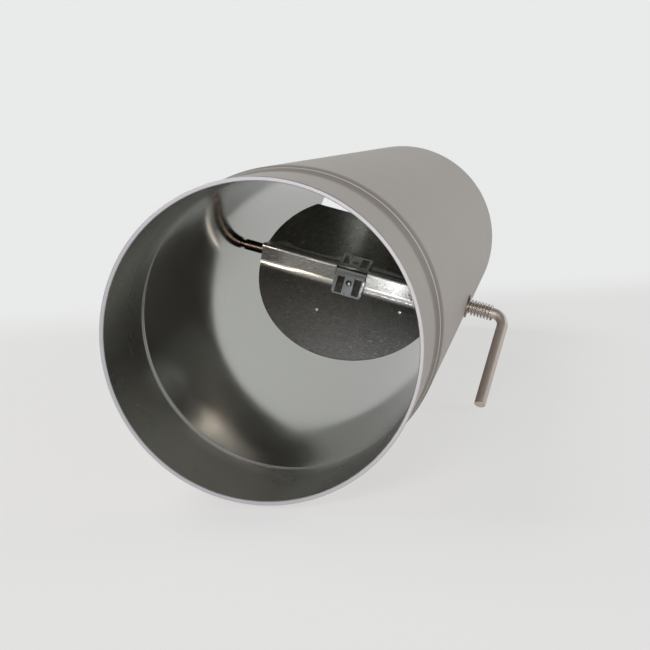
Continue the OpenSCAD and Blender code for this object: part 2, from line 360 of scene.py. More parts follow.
def handling_scratches(place):
    """A sparse mask of scratches, of two kinds with a turn in degrees, a length and a width in mm."""
    tree = place.id_data
    masks = []
    for turn_degrees, long_mm, fine_mm in SCRATCHES:
        stretched = add(
            tree, "ShaderNodeMapping", {"Vector": place},
            {
                "Rotation": (math.radians(turn_degrees), math.radians(SCRATCH_TILT), 0),
                "Scale": (1 / (long_mm * MM), 1 / (fine_mm * MM), 1 / (fine_mm * MM)),
            },
        )
        lines = add(
            tree, "ShaderNodeTexNoise", {"Vector": stretched.outputs["Vector"]}, {"Scale": 1.0, "Detail": 0}
        )
        mask = add(
            tree, "ShaderNodeMapRange", {"Value": lines.outputs["Fac"]},
            {"From Min": SCRATCH_LEVELS[0], "From Max": SCRATCH_LEVELS[1]},
        )
        masks.append(mask.outputs["Result"])
    return add(tree, "ShaderNodeMath", dict(enumerate(masks)), operation="MAXIMUM").outputs["Value"]


print("kinds of scratches", len(SCRATCHES))

# %% Finish of the plate
# The plate leans back and to the side, so up the plate is a slanting direction. Measured along it from
# the part's origin, the rod lies at 158 mm, and the finish changes from 50 mm below to 10 mm above it.
UP_THE_PLATE = (0.2004, 0.6334, 0.7474)
ROD_UP_MM = 158
DULL_BELOW_MM = (ROD_UP_MM - 50, ROD_UP_MM + 10)
VALLEY_MM = 0.2
VALLEY_LEVELS = (0.46, 0.54)
LAND_ROUGHNESS = 0.15
VALLEY_ROUGHNESS = 0.72
SMOOTH_VALLEY_ROUGHNESS = 0.34
SCRATCH_COLOUR = "f4f4f6"
SCRATCH_DULLNESS = 0.3


def rolled_plate_steel():
    """Cold rolled sheet, smooth lands between shallow valleys: a sharp mirror under a soft haze."""
    made, shader, place = new_material("cold_rolled_plate_steel")
    tree = shader.id_data
    colour, cloudiness = clouded(shader, place, 6, "c4c5c7", "d0d1d2", 0.0, 0.05)
    haze = share_along(place, UP_THE_PLATE, *DULL_BELOW_MM, VALLEY_ROUGHNESS, SMOOTH_VALLEY_ROUGHNESS)
    valleys = add(
        tree, "ShaderNodeTexNoise", {"Vector": place}, {"Scale": 1 / (VALLEY_MM * MM), "Detail": 1}
    )
    lands = add(
        tree, "ShaderNodeMapRange", {"Value": valleys.outputs["Fac"], "To Max": haze},
        {"From Min": VALLEY_LEVELS[0], "From Max": VALLEY_LEVELS[1], "To Min": LAND_ROUGHNESS},
    )
    roughness = add(tree, "ShaderNodeMath", {0: lands.outputs["Result"], 1: cloudiness}, operation="ADD")
    scratches = handling_scratches(place)
    rubbed = add(
        tree, "ShaderNodeMix", {"Factor": scratches, "A": colour}, {"B": linear(SCRATCH_COLOUR)},
        data_type="RGBA",
    )
    roughened = add(
        tree, "ShaderNodeMath", {0: scratches, 2: roughness.outputs["Value"]}, {1: SCRATCH_DULLNESS},
        operation="MULTIPLY_ADD",
    )
    tree.links.new(rubbed.outputs["Result"], shader.inputs["Base Color"])
    tree.links.new(roughened.outputs["Value"], shader.inputs["Roughness"])
    grained(shader, place, 0.4, 0.05, 0.01)
    shader.inputs["Specular Tint"].default_value = linear(STEEL_EDGE_TINT)
    return made


PLATE = rolled_plate_steel()
print("plate finish", PLATE.name)

# %% [markdown]
# ## Running a geometry tree
# A Geometry Nodes tree here works on a drawn line: a profile that it turns round an axis, or a path
# that it gives a thickness. Its sizes are named inputs, set on the modifier by their identifiers.
# The result is then kept as a plain mesh, so that nothing live is left on the piece.

# %% Helpers for geometry trees
MERGE_M = 1e-7


def line_mesh(name, points, closed):
    """A mesh of edges only, through the points."""
    count = len(points)
    edges = [(i, (i + 1) % count) for i in range(count if closed else count - 1)]
    mesh = bpy.data.meshes.new(name)
    mesh.from_pydata(points, edges, [])
    return mesh


def new_tree(name, sizes):
    """A geometry tree with a named input for each size, its input node and its output node."""
    tree = bpy.data.node_groups.new(name, "GeometryNodeTree")
    tree.interface.new_socket("Geometry", in_out="INPUT", socket_type="NodeSocketGeometry")
    tree.interface.new_socket("Geometry", in_out="OUTPUT", socket_type="NodeSocketGeometry")
    for size, value in sizes.items():
        kind = "NodeSocketInt" if isinstance(value, int) else "NodeSocketFloat"
        tree.interface.new_socket(size, in_out="INPUT", socket_type=kind)
    return tree, add(tree, "NodeGroupInput"), add(tree, "NodeGroupOutput")


def run_tree(name, mesh, tree, sizes, sharp_degrees):
    """Runs the tree on a mesh and returns its result as a plain mesh object, smooth up to an angle."""
    source = bpy.data.objects.new(name + "_source", mesh)
    bpy.context.scene.collection.objects.link(source)
    modifier = source.modifiers.new("tree", "NODES")
    modifier.node_group = tree
    for socket in tree.interface.items_tree:
        if socket.in_out == "INPUT" and socket.name in sizes:
            modifier[socket.identifier] = sizes[socket.name]
    seen = source.evaluated_get(bpy.context.evaluated_depsgraph_get())
    result = bpy.data.meshes.new_from_object(seen)
    bpy.data.objects.remove(source)
    made = bpy.data.objects.new(name, result)
    bpy.context.scene.collection.objects.link(made)
    result.shade_smooth()
    result.set_sharp_from_angle(angle=math.radians(sharp_degrees))
    print(name, len(result.vertices), "vertices", len(result.polygons), "faces")
    return made


def outward(piece):
    """Merges doubles, then turns all faces outwards."""
    shape = bmesh.new()
    shape.from_mesh(piece.data)
    bmesh.ops.remove_doubles(shape, verts=shape.verts, dist=MERGE_M)
    bmesh.ops.recalc_face_normals(shape, faces=shape.faces)
    volume = shape.calc_volume(signed=True)
    if volume < 0:
        bmesh.ops.reverse_faces(shape, faces=shape.faces)
    shape.to_mesh(piece.data)
    open_edges = sum(1 for e in shape.edges if len(e.link_faces) != 2)
    shape.free()
    print(piece.name, "volume in mm3", round(abs(volume) / MM**3), "open edges", open_edges)


print("doubles are merged within", MERGE_M, "m")

# %% [markdown]
# ## Pipe
# The real pipe is rolled from 2 mm sheet, and its first 50 mm are pressed in a little so that it
# plugs into the next pipe. It is one turned shape, so its wall is drawn once, as a closed profile,
# and a tree turns it round the axis and drills the two holes for the rod. A lathe by Curve to Mesh
# keeps the wall exactly round, which matters because the inside mirrors long soft reflections. It
# needs a circle to follow, which is only 1 mm large here, and the profile is moved in by as much.

# %% Pipe sizes and profile
BORE_R = 75.0
WALL = 2.0
PIPE_LENGTH = 500.0
SPIGOT_R = 74.5
SPIGOT_LENGTH = 50.0
SHOULDER_LENGTH = 13.0
RIM_BEVEL = 0.3
SHOULDER_STEPS = 24
RING_SPACING = 12.5


def shoulder_points(r1, y1, r2, y2):
    """Points of a smooth step from radius r1 at y1 to radius r2 at y2."""
    shares = [i / SHOULDER_STEPS for i in range(SHOULDER_STEPS + 1)]
    return [(r1 + (r2 - r1) * (1 - math.cos(math.pi * s)) / 2, y1 + (y2 - y1) * s) for s in shares]


def straight_points(r, y1, y2):
    """Points between y1 and y2 on a straight wall, without its ends."""
    steps = max(1, round(abs(y2 - y1) / RING_SPACING))
    return [(r, y1 + (y2 - y1) * i / steps) for i in range(1, steps)]


def wall_line(spigot_r, body_r, bevel):
    """One side of the wall from the mouth to the far end. The bevel is positive on the outside."""
    b = abs(bevel)
    shoulder_end = SPIGOT_LENGTH + SHOULDER_LENGTH
    return (
        [(spigot_r - bevel, 0), (spigot_r, b)]
        + straight_points(spigot_r, b, SPIGOT_LENGTH)
        + shoulder_points(spigot_r, SPIGOT_LENGTH, body_r, shoulder_end)
        + straight_points(body_r, shoulder_end, PIPE_LENGTH - b)
        + [(body_r, PIPE_LENGTH - b), (body_r - bevel, PIPE_LENGTH)]
    )


outside = wall_line(SPIGOT_R, BORE_R + WALL, RIM_BEVEL)
inside = wall_line(SPIGOT_R - WALL, BORE_R, -RIM_BEVEL)
print("profile points", len(outside) + len(inside))

# %% Pipe shell
ROD_PLACE = 250.0
ROD_R = 3.5
HOLE_R = 3.6
ROD_DROP = 15.0059
PATH_R = 0.001
PIPE_SIDES, HOLE_SIDES = 256, 64
PAST_WALL = 10

pipe_sizes = {
    "Sides": PIPE_SIDES,
    "Path radius": PATH_R,
    "Hole radius": HOLE_R * MM,
    "Hole length": 2 * (BORE_R + PAST_WALL) * MM,
    "Rod place": ROD_PLACE * MM,
    "Rod slope": math.radians(90 + ROD_DROP),
}
tree, given, result = new_tree("turned_pipe", pipe_sizes)
ring = add(
    tree, "GeometryNodeCurvePrimitiveCircle",
    {"Resolution": given.outputs["Sides"], "Radius": given.outputs["Path radius"]},
)
section = add(tree, "GeometryNodeMeshToCurve", {"Mesh": given.outputs["Geometry"]})
lathed = add(
    tree, "GeometryNodeCurveToMesh",
    {"Curve": ring.outputs["Curve"], "Profile Curve": section.outputs["Curve"]},
)
laid = add(tree, "GeometryNodeTransform", {"Geometry": lathed.outputs["Mesh"]})
laid.inputs["Rotation"].default_value = (math.radians(90), 0, 0)
drill = add(
    tree, "GeometryNodeMeshCylinder",
    {"Radius": given.outputs["Hole radius"], "Depth": given.outputs["Hole length"]}, {"Vertices": HOLE_SIDES},
)
across = add(tree, "ShaderNodeCombineXYZ", {"Y": given.outputs["Rod slope"]})
at_rod = add(tree, "ShaderNodeCombineXYZ", {"Y": given.outputs["Rod place"]})
placed = add(
    tree, "GeometryNodeTransform",
    {
        "Geometry": drill.outputs["Mesh"],
        "Rotation": across.outputs["Vector"],
        "Translation": at_rod.outputs["Vector"],
    },
)
drilled = add(
    tree, "GeometryNodeMeshBoolean",
    {"Mesh 1": laid.outputs["Geometry"], "Mesh 2": placed.outputs["Geometry"]},
    operation="DIFFERENCE", solver="EXACT",
)
plain = add(tree, "GeometryNodeRealizeInstances", {"Geometry": drilled.outputs["Mesh"]})
painted = add(tree, "GeometryNodeSetMaterial", {"Geometry": plain.outputs["Geometry"]})
painted.inputs["Material"].default_value = PAINT
tree.links.new(painted.outputs["Geometry"], result.inputs["Geometry"])

wall_profile = [(r * MM - PATH_R, y * MM, 0) for r, y in outside + inside[::-1]]
pipe = run_tree("pipe_shell", line_mesh("wall", wall_profile, True), tree, pipe_sizes, 30)
outward(pipe)
print("pipe box", [round(d / MM, 2) for d in pipe.dimensions])

# %% [markdown]
# ### Paint outside, bare sheet inside
# The pipe stays one piece, and each face gets the finish of its side. Where a face lies against the
# middle of the wall tells the side, and the two bevelled rims are the cut edges.

# %% Finish each side of the pipe's wall
pipe.data.materials.clear()
for finish in (PAINT, BARE, EDGE):
    pipe.data.materials.append(finish)
for face in pipe.data.polygons:
    x, y, z = face.center / MM
    mid_wall = SPIGOT_R - WALL / 2 if y < SPIGOT_LENGTH + SHOULDER_LENGTH / 2 else BORE_R + WALL / 2
    on_rim = y < RIM_BEVEL or y > PIPE_LENGTH - RIM_BEVEL
    face.material_index = 2 if on_rim else int(math.hypot(x, z) < mid_wall)
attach(pipe, "pipe")
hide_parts("pipe")
finish_of_faces = [face.material_index for face in pipe.data.polygons]
print("faces of each finish", [finish_of_faces.count(i) for i in range(3)])

# %% [markdown]
# ## The damper's own directions
# Everything on the damper is drawn where the rod lies along X, the plate stands up along Z and its
# front looks along -Y. One matrix then puts it in its place, in the mesh itself, so that the
# object stays at the origin.

# %% The damper's place
PLATE_LEAN = 39.3
IN_DAMPER = (
    Matrix.Translation((0, ROD_PLACE * MM, 0))
    @ Matrix.Rotation(math.radians(ROD_DROP), 4, "Y")
    @ Matrix.Rotation(math.radians(-PLATE_LEAN), 4, "X")
)


def solid(name, points, faces):
    """A mesh object of points in mm."""
    mesh = bpy.data.meshes.new(name)
    mesh.from_pydata([tuple(c * MM for c in p) for p in points], [], faces)
    made = bpy.data.objects.new(name, mesh)
    bpy.context.scene.collection.objects.link(made)
    return made


def box(name, low, high):
    """A plain box between two corners in mm, to cut with."""
    (x1, y1, z1), (x2, y2, z2) = low, high
    corners = [(x, y, z) for x in (x1, x2) for y in (y1, y2) for z in (z1, z2)]
    faces = [(0, 1, 3, 2), (4, 6, 7, 5), (0, 4, 5, 1), (2, 3, 7, 6), (0, 2, 6, 4), (1, 5, 7, 3)]
    return solid(name, corners, faces)


def turned(name, section, sides):
    """A solid turned round X from a closed section of points (along, radius)."""
    size = len(section)
    points, faces = [], []
    for k in range(sides):
        a = 2 * math.pi * k / sides
        points += [(along, radius * math.cos(a), radius * math.sin(a)) for along, radius in section]
        here, there = k * size, (k + 1) % sides * size
        faces += [(here + i, here + (i + 1) % size, there + (i + 1) % size, there + i) for i in range(size)]
    made = solid(name, points, faces)
    outward(made)
    return made


def combine(piece, tools, operation):
    """Joins the piece with the tools, cuts them away or keeps what is common, exactly."""
    for tool in tools:
        cut = piece.modifiers.new("cut", "BOOLEAN")
        cut.operation, cut.solver, cut.object = operation, "EXACT", tool
    keep(piece)
    for tool in tools:
        bpy.data.objects.remove(tool)


def keep(piece):
    """Turns the piece and its modifiers into a plain mesh."""
    seen = piece.evaluated_get(bpy.context.evaluated_depsgraph_get())
    plain_mesh = bpy.data.meshes.new_from_object(seen)
    piece.modifiers.clear()
    piece.data = plain_mesh


def finish_damper_piece(piece, material, node, sharp_degrees):
    """Places a piece of the damper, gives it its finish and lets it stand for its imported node."""
    outward(piece)
    piece.data.transform(IN_DAMPER)
    piece.data.materials.clear()
    piece.data.materials.append(material)
    piece.data.shade_smooth()
    piece.data.set_sharp_from_angle(angle=math.radians(sharp_degrees))
    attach(piece, "pipe" if node == "washer" else "damper")
    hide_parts(node)
    low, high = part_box(node)
    own = [v.co for v in piece.data.vertices]
    reach = [(min(p[i] for p in own) - low[i], max(p[i] for p in own) - high[i]) for i in range(3)]
    print(piece.name, "differs from its node in mm by", [tuple(round(d / MM, 2) for d in r) for r in reach])


print("the rod points along", [round(c, 3) for c in IN_DAMPER.to_3x3() @ Vector((1, 0, 0))])

# %% [markdown]
# ## Plate
# The damper plate is cold rolled sheet. A press has raised a rib over the rod on both sides of a
# flat bridge, and two small dimples. The rib runs out into the sheet in a soft curve, and that
# curve gathers the light into the bright line along the rib. So the sheet's section is drawn as a
# line of points with directions, which gives both faces, and the round outline is cut out after.

# %% Sizes of the plate
PLATE_R = 61.0
PLATE_TOP = 47.0
PLATE_T = 1.2
PLATE_FRONT = 3.15
RIB_CLEARANCE = 0.1
RIB_FOOT = 8.5
RIDGE_BEND_R = 1.0
FOOT_BEND_R = 6.5
BRIDGE = 10.5
DIMPLES = [(-14.0, -32.0), (37.0, -17.5)]
DIMPLE_R = 1.8
DIMPLE_DEPTH = 0.7
DIMPLE_MARGIN = 2.4
RIDGE_TURN, FOOT_TURN = 0.1, 0.06
FLAT_STEP, DIMPLE_STEP = 1.5, 0.45
FLAT_MARK = 30.0
PAST_EDGE, PAST_TOP = 2, 3
print("the plate's edge is", BORE_R - PLATE_R, "mm from the wall at the rod")

# %% [markdown]
# ### The sheet's section
# The section runs up the plate: flat, the soft foot bend, the flank, the narrow ridge over the rod,
# and the same again. Each point also carries the direction that the sheet's front looks in, so that
# the back is the same line moved in by the sheet's thickness. The points stand close where the sheet
# bends or has a dimple, and the sheet is drawn a little past its outline, which is cut later.

# %% The plate's section


def spread(marks, step):
    """Numbers from the first mark to the last through all of them, at most step apart."""
    out = [marks[0]]
    for low, high in zip(marks, marks[1:]):
        count = max(1, math.ceil((high - low) / step))
        out += [low + (high - low) * i / count for i in range(1, count + 1)]
    return out


def flank_slope(outer_r, foot):
    """Slope of a flank that passes outer_r from the rod's axis and heads for the foot, in radians."""
    reach = math.hypot(foot, PLATE_FRONT)
    return math.pi / 2 - (math.atan2(-PLATE_FRONT, foot) + math.acos(outer_r / reach))


def rib_side():
    """Upper half of the rib's section: points (up, out) with the front's normal, from top to edge."""
    inner_r = ROD_R + RIB_CLEARANCE
    slope = flank_slope(inner_r + PLATE_T, RIB_FOOT)
    ridge_r = RIDGE_BEND_R + PLATE_T
    ridge = (inner_r - RIDGE_BEND_R) / math.cos(slope)
    turns = spread([0, slope], RIDGE_TURN)
    line = [(ridge_r * math.sin(a), ridge + ridge_r * math.cos(a), a) for a in turns]
    out = FOOT_BEND_R - PLATE_FRONT
    up = (inner_r + PLATE_T + FOOT_BEND_R - out * math.cos(slope)) / math.sin(slope)
    for a in reversed(spread([0, slope], FOOT_TURN)):
        line.append((up - FOOT_BEND_R * math.sin(a), out - FOOT_BEND_R * math.cos(a), a))
    return line


def sheet_section(ribbed):
    """The sheet's section from its low edge to its high edge, as (up, out, normal angle)."""
    side = rib_side() if ribbed else [(0.0, -PLATE_FRONT, 0.0)]
    end = side[-1][0]
    flat_up = spread([end, FLAT_MARK, PLATE_TOP + PAST_TOP], FLAT_STEP)[1:]
    around_dimples = sorted(m for u, v in DIMPLES for m in (-v - DIMPLE_MARGIN, -v + DIMPLE_MARGIN))
    flat_down = spread([end, *around_dimples, PLATE_R + PAST_EDGE], DIMPLE_STEP)[1:]
    up = side + [(v, -PLATE_FRONT, 0.0) for v in flat_up]
    down = side[1:] + [(v, -PLATE_FRONT, 0.0) for v in flat_down]
    return [(-v, out, -a) for v, out, a in reversed(down)] + up


rib = rib_side()
print("ridge stands out", round(rib[0][1], 2), "mm, soft bend ends", round(rib[-1][0], 2), "mm from the rod")

# %% A strip of the plate's sheet


def dimple_sink(u, v):
    """Depth of the sheet's front below its plane at a place."""
    ball = (DIMPLE_R**2 + DIMPLE_DEPTH**2) / (2 * DIMPLE_DEPTH)
    for du, dv in DIMPLES:
        away = math.hypot(u - du, v - dv)
        if away < DIMPLE_R:
            return math.sqrt(ball**2 - away**2) - (ball - DIMPLE_DEPTH)
    return 0.0


def sheet_strip(name, columns, section):
    """A closed strip of sheet over the columns along the rod."""
    points, faces = [], []
    rows = len(section)
    for u in columns:
        for depth in (0.0, PLATE_T):
            for v, out, a in section:
                sink = dimple_sink(u, v)
                up, forward = v - depth * math.sin(a), out - depth * math.cos(a)
                points.append((u, -(forward - sink), up))
    for c in range(len(columns) - 1):
        here, there = c * 2 * rows, (c + 1) * 2 * rows
        for r in range(rows - 1):
            faces.append((here + r, here + r + 1, there + r + 1, there + r))
            faces.append((here + rows + r, there + rows + r, there + rows + r + 1, here + rows + r + 1))
        for r in (0, rows - 1):
            faces.append((here + r, there + r, there + rows + r, here + rows + r))
    for start in (0, (len(columns) - 1) * 2 * rows):
        for r in range(rows - 1):
            faces.append((start + r, start + rows + r, start + rows + r + 1, start + r + 1))
    made = solid(name, points, faces)
    outward(made)
    return made


print("each dimple is", DIMPLE_DEPTH, "mm deep")

# %% The plate's sheet
COLUMN_STEP, DIMPLE_COLUMN_STEP = 3.0, 0.3
SAME_PLACE = 0.1
JOIN = 0.02
dimple_marks = sorted(m for u, v in DIMPLES for m in (u - DIMPLE_MARGIN, u + DIMPLE_MARGIN))
left_marks = [-PLATE_R - PAST_EDGE] + [m for m in dimple_marks if m < -BRIDGE] + [-BRIDGE]
right_marks = [BRIDGE] + [m for m in dimple_marks if m > BRIDGE] + [PLATE_R + PAST_EDGE]


def columns_between(marks):
    """Columns along the rod: close over the dimples, wide elsewhere."""
    out = [marks[0]]
    for low, high in zip(marks, marks[1:]):
        on_dimple = any(abs((low + high) / 2 - u) < SAME_PLACE for u, v in DIMPLES)
        out += spread([low, high], DIMPLE_COLUMN_STEP if on_dimple else COLUMN_STEP)[1:]
    return out


plate = sheet_strip("plate_sheet", columns_between(left_marks), sheet_section(True))
right_strip = sheet_strip("right_strip", columns_between(right_marks), sheet_section(True))
bridge_strip = sheet_strip("bridge_strip", [-BRIDGE - JOIN, 0, BRIDGE + JOIN], sheet_section(False))
combine(plate, [bridge_strip, right_strip], "UNION")

# %% [markdown]
# ### The plate's outline and slots
# The real blank is stamped out round, with one straight edge that clears the wall while the damper
# turns, and the clip's feet need two slots. Exact booleans cut the same shapes, and leave the fine
# curve of the rib as it is.

# %% Cut the plate out
FOOT_REACH = 16.0
FOOT_W = 15.0
CLIP_T = 1.0
SLOT_GAP = 0.15
OUTLINE_SIDES, OUTLINE_HALF = 256, 20
CUT_HALF, CUT_PAST = 30, 5
BEFORE_PLATE, BEHIND_PLATE = 1, 3
outline_section = [(-OUTLINE_HALF, 0), (-OUTLINE_HALF, PLATE_R), (OUTLINE_HALF, PLATE_R), (OUTLINE_HALF, 0)]
outline = turned("plate_outline", outline_section, OUTLINE_SIDES)
outline.data.transform(Matrix.Rotation(math.pi / 2, 4, "Z"))
combine(plate, [outline], "INTERSECT")
slot_low, slot_high = FOOT_REACH - CLIP_T - SLOT_GAP, FOOT_REACH + SLOT_GAP
half = FOOT_W / 2 + SLOT_GAP
front, back = PLATE_FRONT - BEFORE_PLATE, PLATE_FRONT + BEHIND_PLATE
cutters = [
    box("top_cutter", (-PLATE_R, -CUT_HALF, PLATE_TOP), (PLATE_R, CUT_HALF, PLATE_R + CUT_PAST)),
    box("upper_slot", (-half, front, slot_low), (half, back, slot_high)),
    box("lower_slot", (-half, front, -slot_high), (half, back, -slot_low)),
]
combine(plate, cutters, "DIFFERENCE")
finish_damper_piece(plate, PLATE, "damper_plate", 25)

# %% [markdown]
# ## Rod
# The rod is drawn bar of 7 mm, bent square into the handle. It has a turned groove just inside the
# far wall, one for the snap ring outside, and a flat where it lies on the plate's bridge. Rings of
# points along its path, each with its own radius, make it in one skin.

# %% Sizes of the rod
BEND_R = 7.5
HANDLE_LENGTH = 65.0
TIP_BEVEL = 0.5
ROD_FLAT = 0.4
WASHER_T = 1.2
SPRING_LENGTH = 16.0
SEAT_GAP = 0.05
TURN_GAP = 0.3
RING_T = 0.7
ROD_TAIL = 2.5
RING_GROOVE_DEPTH = 0.5
INNER_GROOVE_DEPTH = 1.0
INNER_GROOVE = (-BORE_R + 0.2, -BORE_R + 1.5)
ROD_SIDES = 48
ROD_STEP, BRIDGE_STEP, HANDLE_STEP = 8, 4, 6
BEND_TURN = 0.08
AFTER_GROOVE = 1
STEP_W = 0.02

body_r = BORE_R + WALL
spring_start = body_r + SEAT_GAP + WASHER_T + TURN_GAP
bend_start = spring_start + SPRING_LENGTH
elbow = bend_start + BEND_R
rod_start = -(body_r + TURN_GAP + RING_T + ROD_TAIL)
ring_groove = (-(body_r + TURN_GAP + RING_T + SEAT_GAP), -(body_r + TURN_GAP - SEAT_GAP))
print("the rod reaches from", round(rod_start, 2), "to", round(elbow + ROD_R, 2), "mm along its axis")

# %% The rod


def rod_rings():
    """Rings of the rod: centre (along, up), turn of the ring's plane in radians, and radius."""
    bevel_r = ROD_R - TIP_BEVEL
    rings = [(rod_start, 0, 0, bevel_r), (rod_start + TIP_BEVEL, 0, 0, ROD_R)]
    for (low, high), depth in ((ring_groove, RING_GROOVE_DEPTH), (INNER_GROOVE, INNER_GROOVE_DEPTH)):
        cut = ((low, 0), (low + STEP_W, depth), (high - STEP_W, depth), (high, 0))
        rings += [(at, 0, 0, ROD_R - below) for at, below in cut]
    straight = spread([INNER_GROOVE[1] + AFTER_GROOVE, -BRIDGE], ROD_STEP)
    straight += spread([-BRIDGE + STEP_W, BRIDGE - STEP_W], BRIDGE_STEP)
    straight += spread([BRIDGE, bend_start], ROD_STEP)
    rings += [(at, 0, 0, ROD_R) for at in straight]
    for a in spread([0, math.pi / 2], BEND_TURN)[1:]:
        rings.append((bend_start + BEND_R * math.sin(a), -BEND_R * (1 - math.cos(a)), a, ROD_R))
    handle = spread([BEND_R, HANDLE_LENGTH - TIP_BEVEL], HANDLE_STEP)[1:]
    rings += [(elbow, -at, math.pi / 2, ROD_R) for at in handle]
    rings.append((elbow, -HANDLE_LENGTH, math.pi / 2, bevel_r))
    return rings


points, faces = [], []
rings = rod_rings()
for along, up, turn, radius in rings:
    for k in range(ROD_SIDES):
        a = 2 * math.pi * k / ROD_SIDES
        side, out = radius * math.cos(a), radius * math.sin(a)
        if turn == 0 and abs(along) < BRIDGE - STEP_W / 2:
            side = min(side, ROD_R - ROD_FLAT)
        points.append((along + out * math.sin(turn), side, up + out * math.cos(turn)))
for r in range(len(rings) - 1):
    here, there = r * ROD_SIDES, (r + 1) * ROD_SIDES
    for k in range(ROD_SIDES):
        n = (k + 1) % ROD_SIDES
        faces.append((here + k, here + n, there + n, there + k))
faces.append(tuple(range(ROD_SIDES)))
faces.append(tuple((len(rings) - 1) * ROD_SIDES + k for k in reversed(range(ROD_SIDES))))
rod = solid("rod_and_handle", points, faces)
finish_damper_piece(rod, BAR, "damper_rod", 30)

# %% [markdown]
# ## Clip
# A saddle of spring steel strip holds the rod down on the bridge. Its two feet hook behind the
# plate through slots, and each flank has two windows with a pressed boss between them. It is drawn
# as a bent strip, trimmed and pierced like the sheet metal that it is, and its edges are rounded a
# little because a bright strip shows mostly by the glints on its edges.

# %% A bent strip
CLIP_W = 20.0
CLIP_GAP = 0.05
TOE_LENGTH = 2.5
KNEE_BEND_R, TOE_BEND_R = 1.0, 0.6
ARC_TURN = 0.12
SPARE_W = 1
clip_r = ROD_R + CLIP_GAP + CLIP_T
clip_slope = flank_slope(clip_r, FOOT_REACH)


def corner_arc(before, at, after, radius):
    """Points with normals where a line turns at a corner that is rounded with a radius."""
    here = Vector(at)
    arriving, leaving = (here - Vector(before)).normalized(), (Vector(after) - here).normalized()
    turn = arriving.angle_signed(leaving)
    bend = math.copysign(radius, turn)
    normal = Vector((-arriving.y, arriving.x))
    centre = here - arriving * radius * math.tan(abs(turn) / 2) - normal * bend
    shares = spread([0, 1], ARC_TURN / abs(turn))
    turned_normals = [Matrix.Rotation(-turn * share, 2) @ normal for share in shares]
    return [(centre + n * bend, n) for n in turned_normals]


def bent_line(corners):
    """Points with normals along an open line of corners (up, out, bend radius)."""
    line = []
    for before, at, after in zip(corners, corners[1:], corners[2:]):
        line += corner_arc(before[:2], at[:2], after[:2], at[2])
    return [(Vector(corners[0][:2]), line[0][1])] + line + [(Vector(corners[-1][:2]), line[-1][1])]


def bent_strip(name, corners, thickness, half_width):
    """A strip of sheet of a width along the rod, bent along a line of corners."""
    line = bent_line(corners)
    points = []
    for u in (-half_width, half_width):
        for side in (0.5, -0.5):
            for place, normal in line:
                up, out = place + normal * thickness * side
                points.append((u, -out, up))
    count = len(line)
    faces = []
    for i in range(count - 1):
        for a, b in ((0, 1), (1, 3), (3, 2), (2, 0)):
            faces.append((a * count + i, a * count + i + 1, b * count + i + 1, b * count + i))
    for i in (0, count - 1):
        faces.append((i, count + i, 3 * count + i, 2 * count + i))
    made = solid(name, points, faces)
    outward(made)
    return made


print("the clip's flanks are", round(math.degrees(clip_slope), 1), "degrees steep")

# %% The clip's strip
middle_r = clip_r - CLIP_T / 2
foot_line = FOOT_REACH - CLIP_T / 2
toe_line = -(PLATE_FRONT + PLATE_T + SEAT_GAP + CLIP_T / 2)
top_corner = middle_r / math.cos(clip_slope)
knee = top_corner - foot_line * math.tan(clip_slope)
half_line = [
    (foot_line, knee, KNEE_BEND_R),
    (foot_line, toe_line, TOE_BEND_R),
    (FOOT_REACH + TOE_LENGTH, toe_line, 0),
]
other_half = [(-up, out, r) for up, out, r in reversed(half_line)]
clip_line = other_half + [(0, top_corner, middle_r)] + half_line
clip = bent_strip("saddle_clip", clip_line, CLIP_T, CLIP_W / 2 + SPARE_W)

# %% [markdown]
# ### The clip's outline and windows
# The strip is cut to its outline before it is bent, with rounded corners, and the feet are narrower
# than the saddle. Both flanks have two windows, which leave a bar in the middle, a rim at each side, a
# head above and a narrow foot below. Stencils cut them straight through from the front, which is the
# way the photo sees them.

# %% Trim and pierce the clip
WINDOW_BAR = 6.5
WINDOW_RIM = 2.0
WINDOW_HEAD = 2.5
WINDOW_FOOT = 1.2
WINDOW_CORNER = 0.6
CLIP_CORNER = 2.5
STENCIL_HALF = 20
CLEAR_W, CLEAR_TOE, CLEAR_PLATE = 2, 1, 0.03


def stencil(name, corners):
    """A bar along Y to cut with, from an outline of corners (u, v, corner radius)."""
    count = len(corners)
    edge = []
    for i in range(count):
        before, at, after = corners[i - 1], corners[i], corners[(i + 1) % count]
        edge += [point for point, normal in corner_arc(before[:2], at[:2], after[:2], at[2])]
    size = len(edge)
    points = [(u, y, v) for y in (-STENCIL_HALF, STENCIL_HALF) for u, v in edge]
    sides = [(i, (i + 1) % size, size + (i + 1) % size, size + i) for i in range(size)]
    made = solid(name, points, sides + [tuple(range(size))[::-1], tuple(range(size, 2 * size))])
    outward(made)
    return made


def window(left, low):
    """One window of the clip, from its left and lower edges."""
    right, high = left + window_w, low + window_top - window_low
    corners = ((left, low), (right, low), (right, high), (left, high))
    return stencil("window", [(u, v, WINDOW_CORNER) for u, v in corners])


